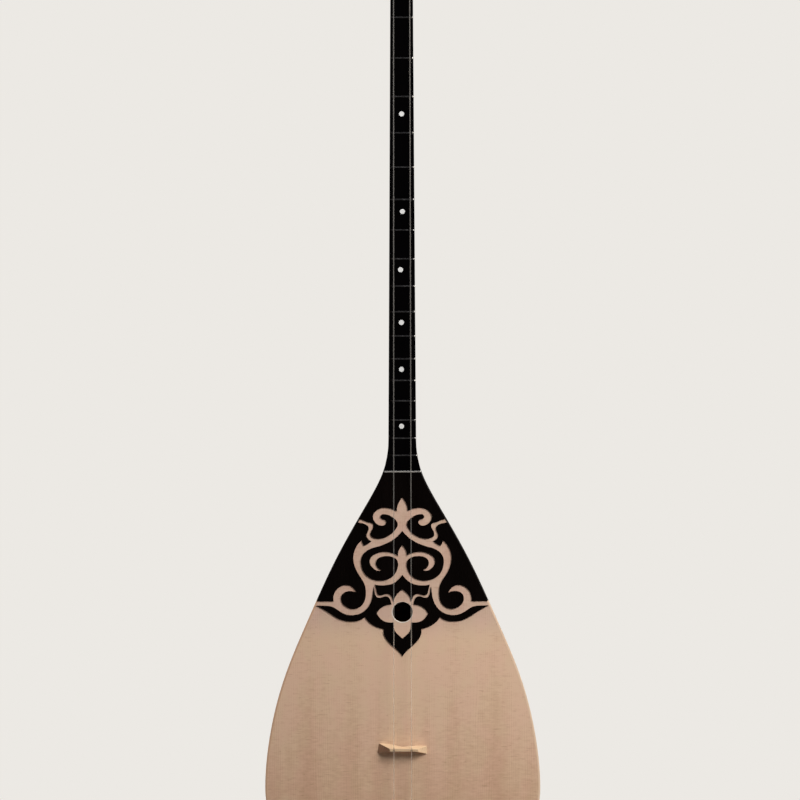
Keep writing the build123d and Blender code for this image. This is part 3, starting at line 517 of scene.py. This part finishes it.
for name in ("bridge", "nut", "lower_saddle", "head_veneer"):
    soften(name)
for name in ("tail_cap", "tail_block"):
    weld(name)


# ---- new pieces ----------------------------------------------------------------------------------

def around(count):
    """That many even turns round a circle, in radians."""
    return [2 * math.pi * k / count for k in range(count)]


def strips(rows, size, base=0, closed=False):
    """Faces between neighbouring rows of points; each row is a closed ring of that size."""
    faces = []
    for i in range(rows if closed else rows - 1):
        a, b = base + i * size, base + (i + 1) % rows * size
        for k in range(size):
            m = (k + 1) % size
            faces.append((a + k, a + m, b + m, b + k))
    return faces


def end_caps(rows, size):
    """The faces that close the first and the last row."""
    return [tuple(range(size))[::-1], tuple((rows - 1) * size + k for k in range(size))]


def mesh_from(name, points, faces):
    mesh = bpy.data.meshes.new(name)
    mesh.from_pydata([tuple(p) for p in points], [], faces)
    mesh.update()
    fixer = bmesh.new()
    fixer.from_mesh(mesh)
    bmesh.ops.recalc_face_normals(fixer, faces=fixer.faces)
    fixer.to_mesh(mesh)
    fixer.free()
    return mesh


def add_piece(name, mesh, material, body, smooth=True):
    piece = bpy.data.objects.new(name, mesh)
    bpy.context.scene.collection.objects.link(piece)
    mesh.materials.clear()
    mesh.materials.append(material)
    if smooth:
        mesh.polygons.foreach_set("use_smooth", [True] * len(mesh.polygons))
    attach(piece, body)
    return piece


def tube(name, path, radii, sides, closed=False):
    """A round tube along a path; radii is one number, or one for each point."""
    count = len(path)
    if not isinstance(radii, list):
        radii = [radii] * count
    points = []
    across = None
    for i, p in enumerate(path):
        ahead = path[(i + 1) % count] if closed or i + 1 < count else p
        behind = path[i - 1] if closed or i > 0 else p
        along = (ahead - behind).normalized()
        if across is None:
            across = along.orthogonal().normalized()
        across = (across - along * across.dot(along)).normalized()
        other = along.cross(across)
        for turn in around(sides):
            points.append(p + (across * math.cos(turn) + other * math.sin(turn)) * radii[i])
    faces = strips(count, sides, closed=closed)
    if not closed:
        faces += end_caps(count, sides)
    return mesh_from(name, points, faces)


def wind_string(side_name, side, string_name):
    """The string's turns on a peg: a helix from where the string arrives to its tucked-in end."""
    turns, steps, pitch = 5.0, 260, 0.00088
    top_slice = 0.0009
    tuck_from = 0.96
    axis = Vector(JOINTS[f"peg_{side_name}_turn"]["pos_m"])
    string = [v.co for v in NODES[string_name].data.vertices]
    top = max(p.z for p in string)
    end = [p for p in string if p.z > top - top_slice]
    landing = sum(end, Vector()) / len(end)
    first_turn = math.atan2(landing.z - axis.z, landing.y - axis.y)
    path, radii = [], []
    for i in range(steps + 1):
        share = i / steps
        settled = min(1.0, share * 10)
        tucked = max(0.0, (share - tuck_from) / (1 - tuck_from))
        out = abs(landing.x) - pitch * turns * share
        shank = 0.004 + 0.03 * out      # the peg's tapered radius there
        reach = shank + STRING_RADIUS * (1.15 - 0.12 * settled - 2.2 * tucked)
        turn = first_turn + 2 * math.pi * turns * share
        path.append(Vector((side * out, axis.y + math.cos(turn) * reach,
                            axis.z + math.sin(turn) * reach)))
        radii.append(STRING_RADIUS * (0.98 - 0.3 * tucked))
    name = f"wound_string_{side_name}"
    piece = add_piece(name, tube(name, path, radii, 10), NYLON, f"peg_{side_name}")
    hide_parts(f"winding_{side_name}")


def tie_tail_loop():
    """The strings' loop round the button's waist: two twisted strands, and a knot each side."""
    low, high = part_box("tail_loop")
    button_low, button_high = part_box("tail_button")
    button = (button_low + button_high) / 2
    height = low.z + (high.z - low.z) / 2
    waist = 0.0045
    reach = waist + STRING_RADIUS + 0.00012
    twists = 14
    tubes = []
    for strand in (0, 1):
        path = []
        for turn in around(240):
            spin = twists * turn + strand * math.pi
            out = reach + 0.00022 * math.cos(spin)
            path.append(Vector((button.x + math.cos(turn) * out, button.y + math.sin(turn) * out,
                                height + 0.00034 * math.sin(spin))))
        tubes.append(tube(f"strand_{strand}", path, 0.00030, 8, closed=True))

    inset, coils, steps = 0.0011, 3.0, 72
    knot_length, coil_reach, core_step = 0.0020, 0.00072, 0.00028
    for side in (-1, 1):
        knot = Vector((side * (high.x - inset), low.y + inset, height))
        axis = (Vector((side * STRING_OUT, *SADDLE_EXIT)) - knot).normalized()
        across = axis.orthogonal().normalized()
        other = axis.cross(across)
        path = []
        for i in range(steps + 1):
            share = i / steps
            turn = 2 * math.pi * coils * share
            coil = (across * math.cos(turn) + other * math.sin(turn)) * coil_reach
            path.append(knot + axis * ((share - 0.5) * knot_length) + coil)
        tubes.append(tube(f"knot_{side}", path, 0.00036, 8))
        core = [knot + axis * (t * core_step) for t in range(-4, 5)]
        tubes.append(tube(f"core_{side}", core, 0.00040, 8))

    joined = bmesh.new()
    for part in tubes:
        joined.from_mesh(part)
    mesh = bpy.data.meshes.new("tied_tail_loop")
    joined.to_mesh(mesh)
    joined.free()
    piece = add_piece("tied_tail_loop", mesh, NYLON, BODY)
    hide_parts("tail_loop")


def line_sound_hole():
    """A thin white lip in the sound hole, widest at its lower left: its white, widest there, is a
    painted highlight for the light on the hole's inner edge.
    """
    low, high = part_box("soundboard_left")
    top, bottom = low.y, high.y
    wall = SOUND_HOLE_RADIUS + 0.00002
    inner = SOUND_HOLE_RADIUS - 0.00028
    narrowest_at = math.radians(45)
    points = []
    turns = around(96)
    for turn in turns:
        outer = max(0.00806, 0.00830 - 0.00034 * math.cos(turn - narrowest_at))
        profile = [
            (wall, top + 0.0001), (outer, top + 0.0001), (outer, top - 0.00002),
            (outer - 0.00006, top - 0.00008), (inner + 0.00026, top - 0.00008),
            (inner + 0.00004, top + 0.00018), (inner, top + 0.00030),
            (inner, bottom - 0.0001), (wall, bottom - 0.0001),
        ]
        for reach, y in profile:
            points.append((math.cos(turn) * reach, y, SOUND_HOLE_Z + math.sin(turn) * reach))
    faces = strips(len(turns), len(profile), closed=True)
    mesh = mesh_from("sound_hole_lip", points, faces)
    add_piece("sound_hole_lip", mesh, LIP_PAINTED_HIGHLIGHT, BODY)


def dome_fret_ends():
    """Each fret's two ends are filed to a small polished dome."""
    rings, sides = 5, 14
    reach_x, reach_z, lift_y = 0.00062, 0.00074, 0.00078
    inset, fret_height = 0.00042, 0.0007
    points, faces = [], []
    for name in sorted(NODES):
        if not name.startswith("fret_"):
            continue
        low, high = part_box(name)
        for side, end in ((-1, low.x), (1, high.x)):
            base = len(points)
            centre = Vector((end - side * inset, low.y + fret_height, (low.z + high.z) / 2))
            for ring in range(rings):
                lift = math.radians(90 * ring / rings)
                for turn in around(sides):
                    points.append(centre + Vector((
                        reach_x * math.cos(lift) * math.cos(turn), -lift_y * math.sin(lift),
                        reach_z * math.cos(lift) * math.sin(turn))))
            points.append(centre + Vector((0, -lift_y, 0)))
            faces += strips(rings, sides, base)
            last, tip = base + (rings - 1) * sides, base + rings * sides
            for k in range(sides):
                faces.append((last + k, last + (k + 1) % sides, tip))
            faces.append(tuple(base + k for k in range(sides)))
    add_piece("fret_ends", mesh_from("fret_ends", points, faces), FRET_END, BODY)


def outline_chain(node):
    """A soundboard half's curved outline, from its front face's border, top to tail."""
    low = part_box(node)[0]
    corners = {}
    for v in NODES[node].data.vertices:
        corners.setdefault(tuple(round(c, 6) for c in v.co), v.co.copy())
    front = [p for p in corners.values() if abs(p.y - low.y) < 1e-6]
    hole = Vector((0, low.y, SOUND_HOLE_Z))
    notch = SADDLE_NOTCH_HALF + 2e-5
    border = [p for p in front if abs(p.x) > notch and (p - hole).length > SOUND_HOLE_RADIUS + 0.0015]
    notch_corners = [p for p in front if notch - 1.2e-4 < abs(p.x) <= notch]
    border.append(min(notch_corners, key=lambda p: p.z))
    border.sort(key=lambda p: math.atan2(p.z - BODY_CENTRE_Z, abs(p.x)), reverse=True)
    return border


def edge_bead(side_name, material):
    """A fine bead over the binding's inner edge, just proud of the soundboard's face."""
    chain = outline_chain(f"soundboard_{side_name}")
    profile = [     # how far out from the soundboard's outline, and how high over its face
        (-0.00012, -0.0003), (-0.00012, 0.00003), (0.0, 0.00006),
        (0.00070, 0.00006), (0.00092, 0.0), (0.00098, -0.0003),
    ]
    points = []
    for i, p in enumerate(chain):
        along = (chain[min(i + 1, len(chain) - 1)] - chain[max(i - 1, 0)]).normalized()
        outward = Vector((along.z, 0, -along.x))
        if outward.dot(p - Vector((0, p.y, BODY_CENTRE_Z))) < 0:
            outward = -outward
        for offset, rise in profile:
            spot = p + outward * offset
            points.append((spot.x, p.y - rise, spot.z))
    faces = strips(len(chain), len(profile)) + end_caps(len(chain), len(profile))
    name = f"edge_bead_{side_name}"
    add_piece(name, mesh_from(name, points, faces), material, BODY, smooth=False)


wind_string("left", -1, "string_1")
wind_string("right", 1, "string_2")
tie_tail_loop()
line_sound_hole()
dome_fret_ends()
# the beads carry the bindings' painted shade on the left and painted highlight on the right
edge_bead("left", BINDING_SHADED_LEFT)
edge_bead("right", BINDING_LIT_RIGHT)


# ---- floor, light and camera ---------------------------------------------------------------------

PICTURE_WIDTH = 0.6184       # what the photograph's width spans at the soundboard's face
CAMERA_X, CAMERA_Z = -0.0017, -0.3645
CAMERA_DISTANCE = 5.0
CAMERA_ROLL = 0.085          # degrees
SENSOR_WIDTH = 36.0          # millimetres
KEY_AIM = Vector((0.0, -0.016, -0.60))
KEY_SPOT = KEY_AIM + Vector((0.552, -0.620, 0.558)) * 1.05

LIGHTS = (      # name, place, aim, size, power in watts, colour
    ("key", KEY_SPOT, KEY_AIM, 0.66, 9.05, (1.0, 0.965, 0.91)),
    ("rim_right", (1.3, 0.45, 0.1), (0.05, 0.0, -0.5), 0.6, 9.0, (1.0, 0.86, 0.70)),
    ("overhead", (0.0, 0.3, 1.7), (0.0, 0.15, -0.77), 2.0, 40.0, (1.0, 0.985, 0.965)),
    ("back", (-0.7, 1.6, 0.6), (0.0, 0.0, -0.35), 1.0, 14.0, (1.0, 0.98, 0.95)),
)


def make_floor():
    g = new_material("pale_floor")
    clouds = g.noise(g.stretched((0.4, 0.4, 0.4)), detail=3)
    grain = g.noise(g.stretched((0.002, 0.002, 0.002)), detail=2)
    colour = g.ramp(clouds, [(0.2, linear(184, 182, 178)), (0.8, linear(192, 190, 186))])
    mesh = bpy.data.meshes.new("floor")
    disc = bmesh.new()
    bmesh.ops.create_circle(disc, cap_ends=True, segments=96, radius=1.4)
    disc.to_mesh(mesh)
    disc.free()
    mesh.materials.append(g.surface(colour, 0.7, grain, 1e-4))
    floor = bpy.data.objects.new("floor", mesh)
    floor.location = (0, 0, CAD_BOX[0].z - 0.0004)
    floor.visible_diffuse = False
    bpy.context.scene.collection.objects.link(floor)


def add_light(name, place, aim, size, power, colour):
    lamp = bpy.data.lights.new(name, "AREA")
    lamp.shape = "DISK"
    lamp.size = size
    lamp.energy = power
    lamp.color = colour
    made = bpy.data.objects.new(name, lamp)
    made.location = place
    made.rotation_mode = "QUATERNION"
    made.rotation_quaternion = (Vector(aim) - Vector(place)).to_track_quat("-Z", "Y")
    made.visible_camera = False
    bpy.context.scene.collection.objects.link(made)


def make_world():
    """Pale all round for the eye; as light, a soft studio that is dark straight in front."""
    world = bpy.data.worlds.new("studio")
    g = Graph(world)
    strength = g.step(g.parts(g.seat["Generated"])[1], -0.97, -0.80, 0.01, 0.12)
    light = g.node("ShaderNodeBackground", {0: (1.0, 0.97, 0.94, 1.0), 1: strength})
    seen = g.node("ShaderNodeBackground", {0: linear(236, 233, 228), 1: 1.0})
    is_seen = g.node("ShaderNodeLightPath").outputs["Is Camera Ray"]
    both = g.node("ShaderNodeMixShader", {0: is_seen, 1: light.outputs[0], 2: seen.outputs[0]})
    g.node("ShaderNodeOutputWorld", {0: both.outputs[0]})
    bpy.context.scene.world = world


def make_camera():
    lens = bpy.data.cameras.new("camera")
    lens.sensor_width = SENSOR_WIDTH
    lens.lens = SENSOR_WIDTH * CAMERA_DISTANCE / PICTURE_WIDTH
    lens.clip_end = 100.0
    made = bpy.data.objects.new("camera", lens)
    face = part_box("soundboard_left")[0].y
    made.location = (CAMERA_X, face - CAMERA_DISTANCE, CAMERA_Z)
    made.rotation_euler = (math.radians(90), math.radians(CAMERA_ROLL), 0)
    bpy.context.scene.collection.objects.link(made)
    bpy.context.scene.camera = made


make_floor()
for light in LIGHTS:
    add_light(*light)
make_world()
make_camera()
bpy.context.scene.view_settings.view_transform = "Standard"
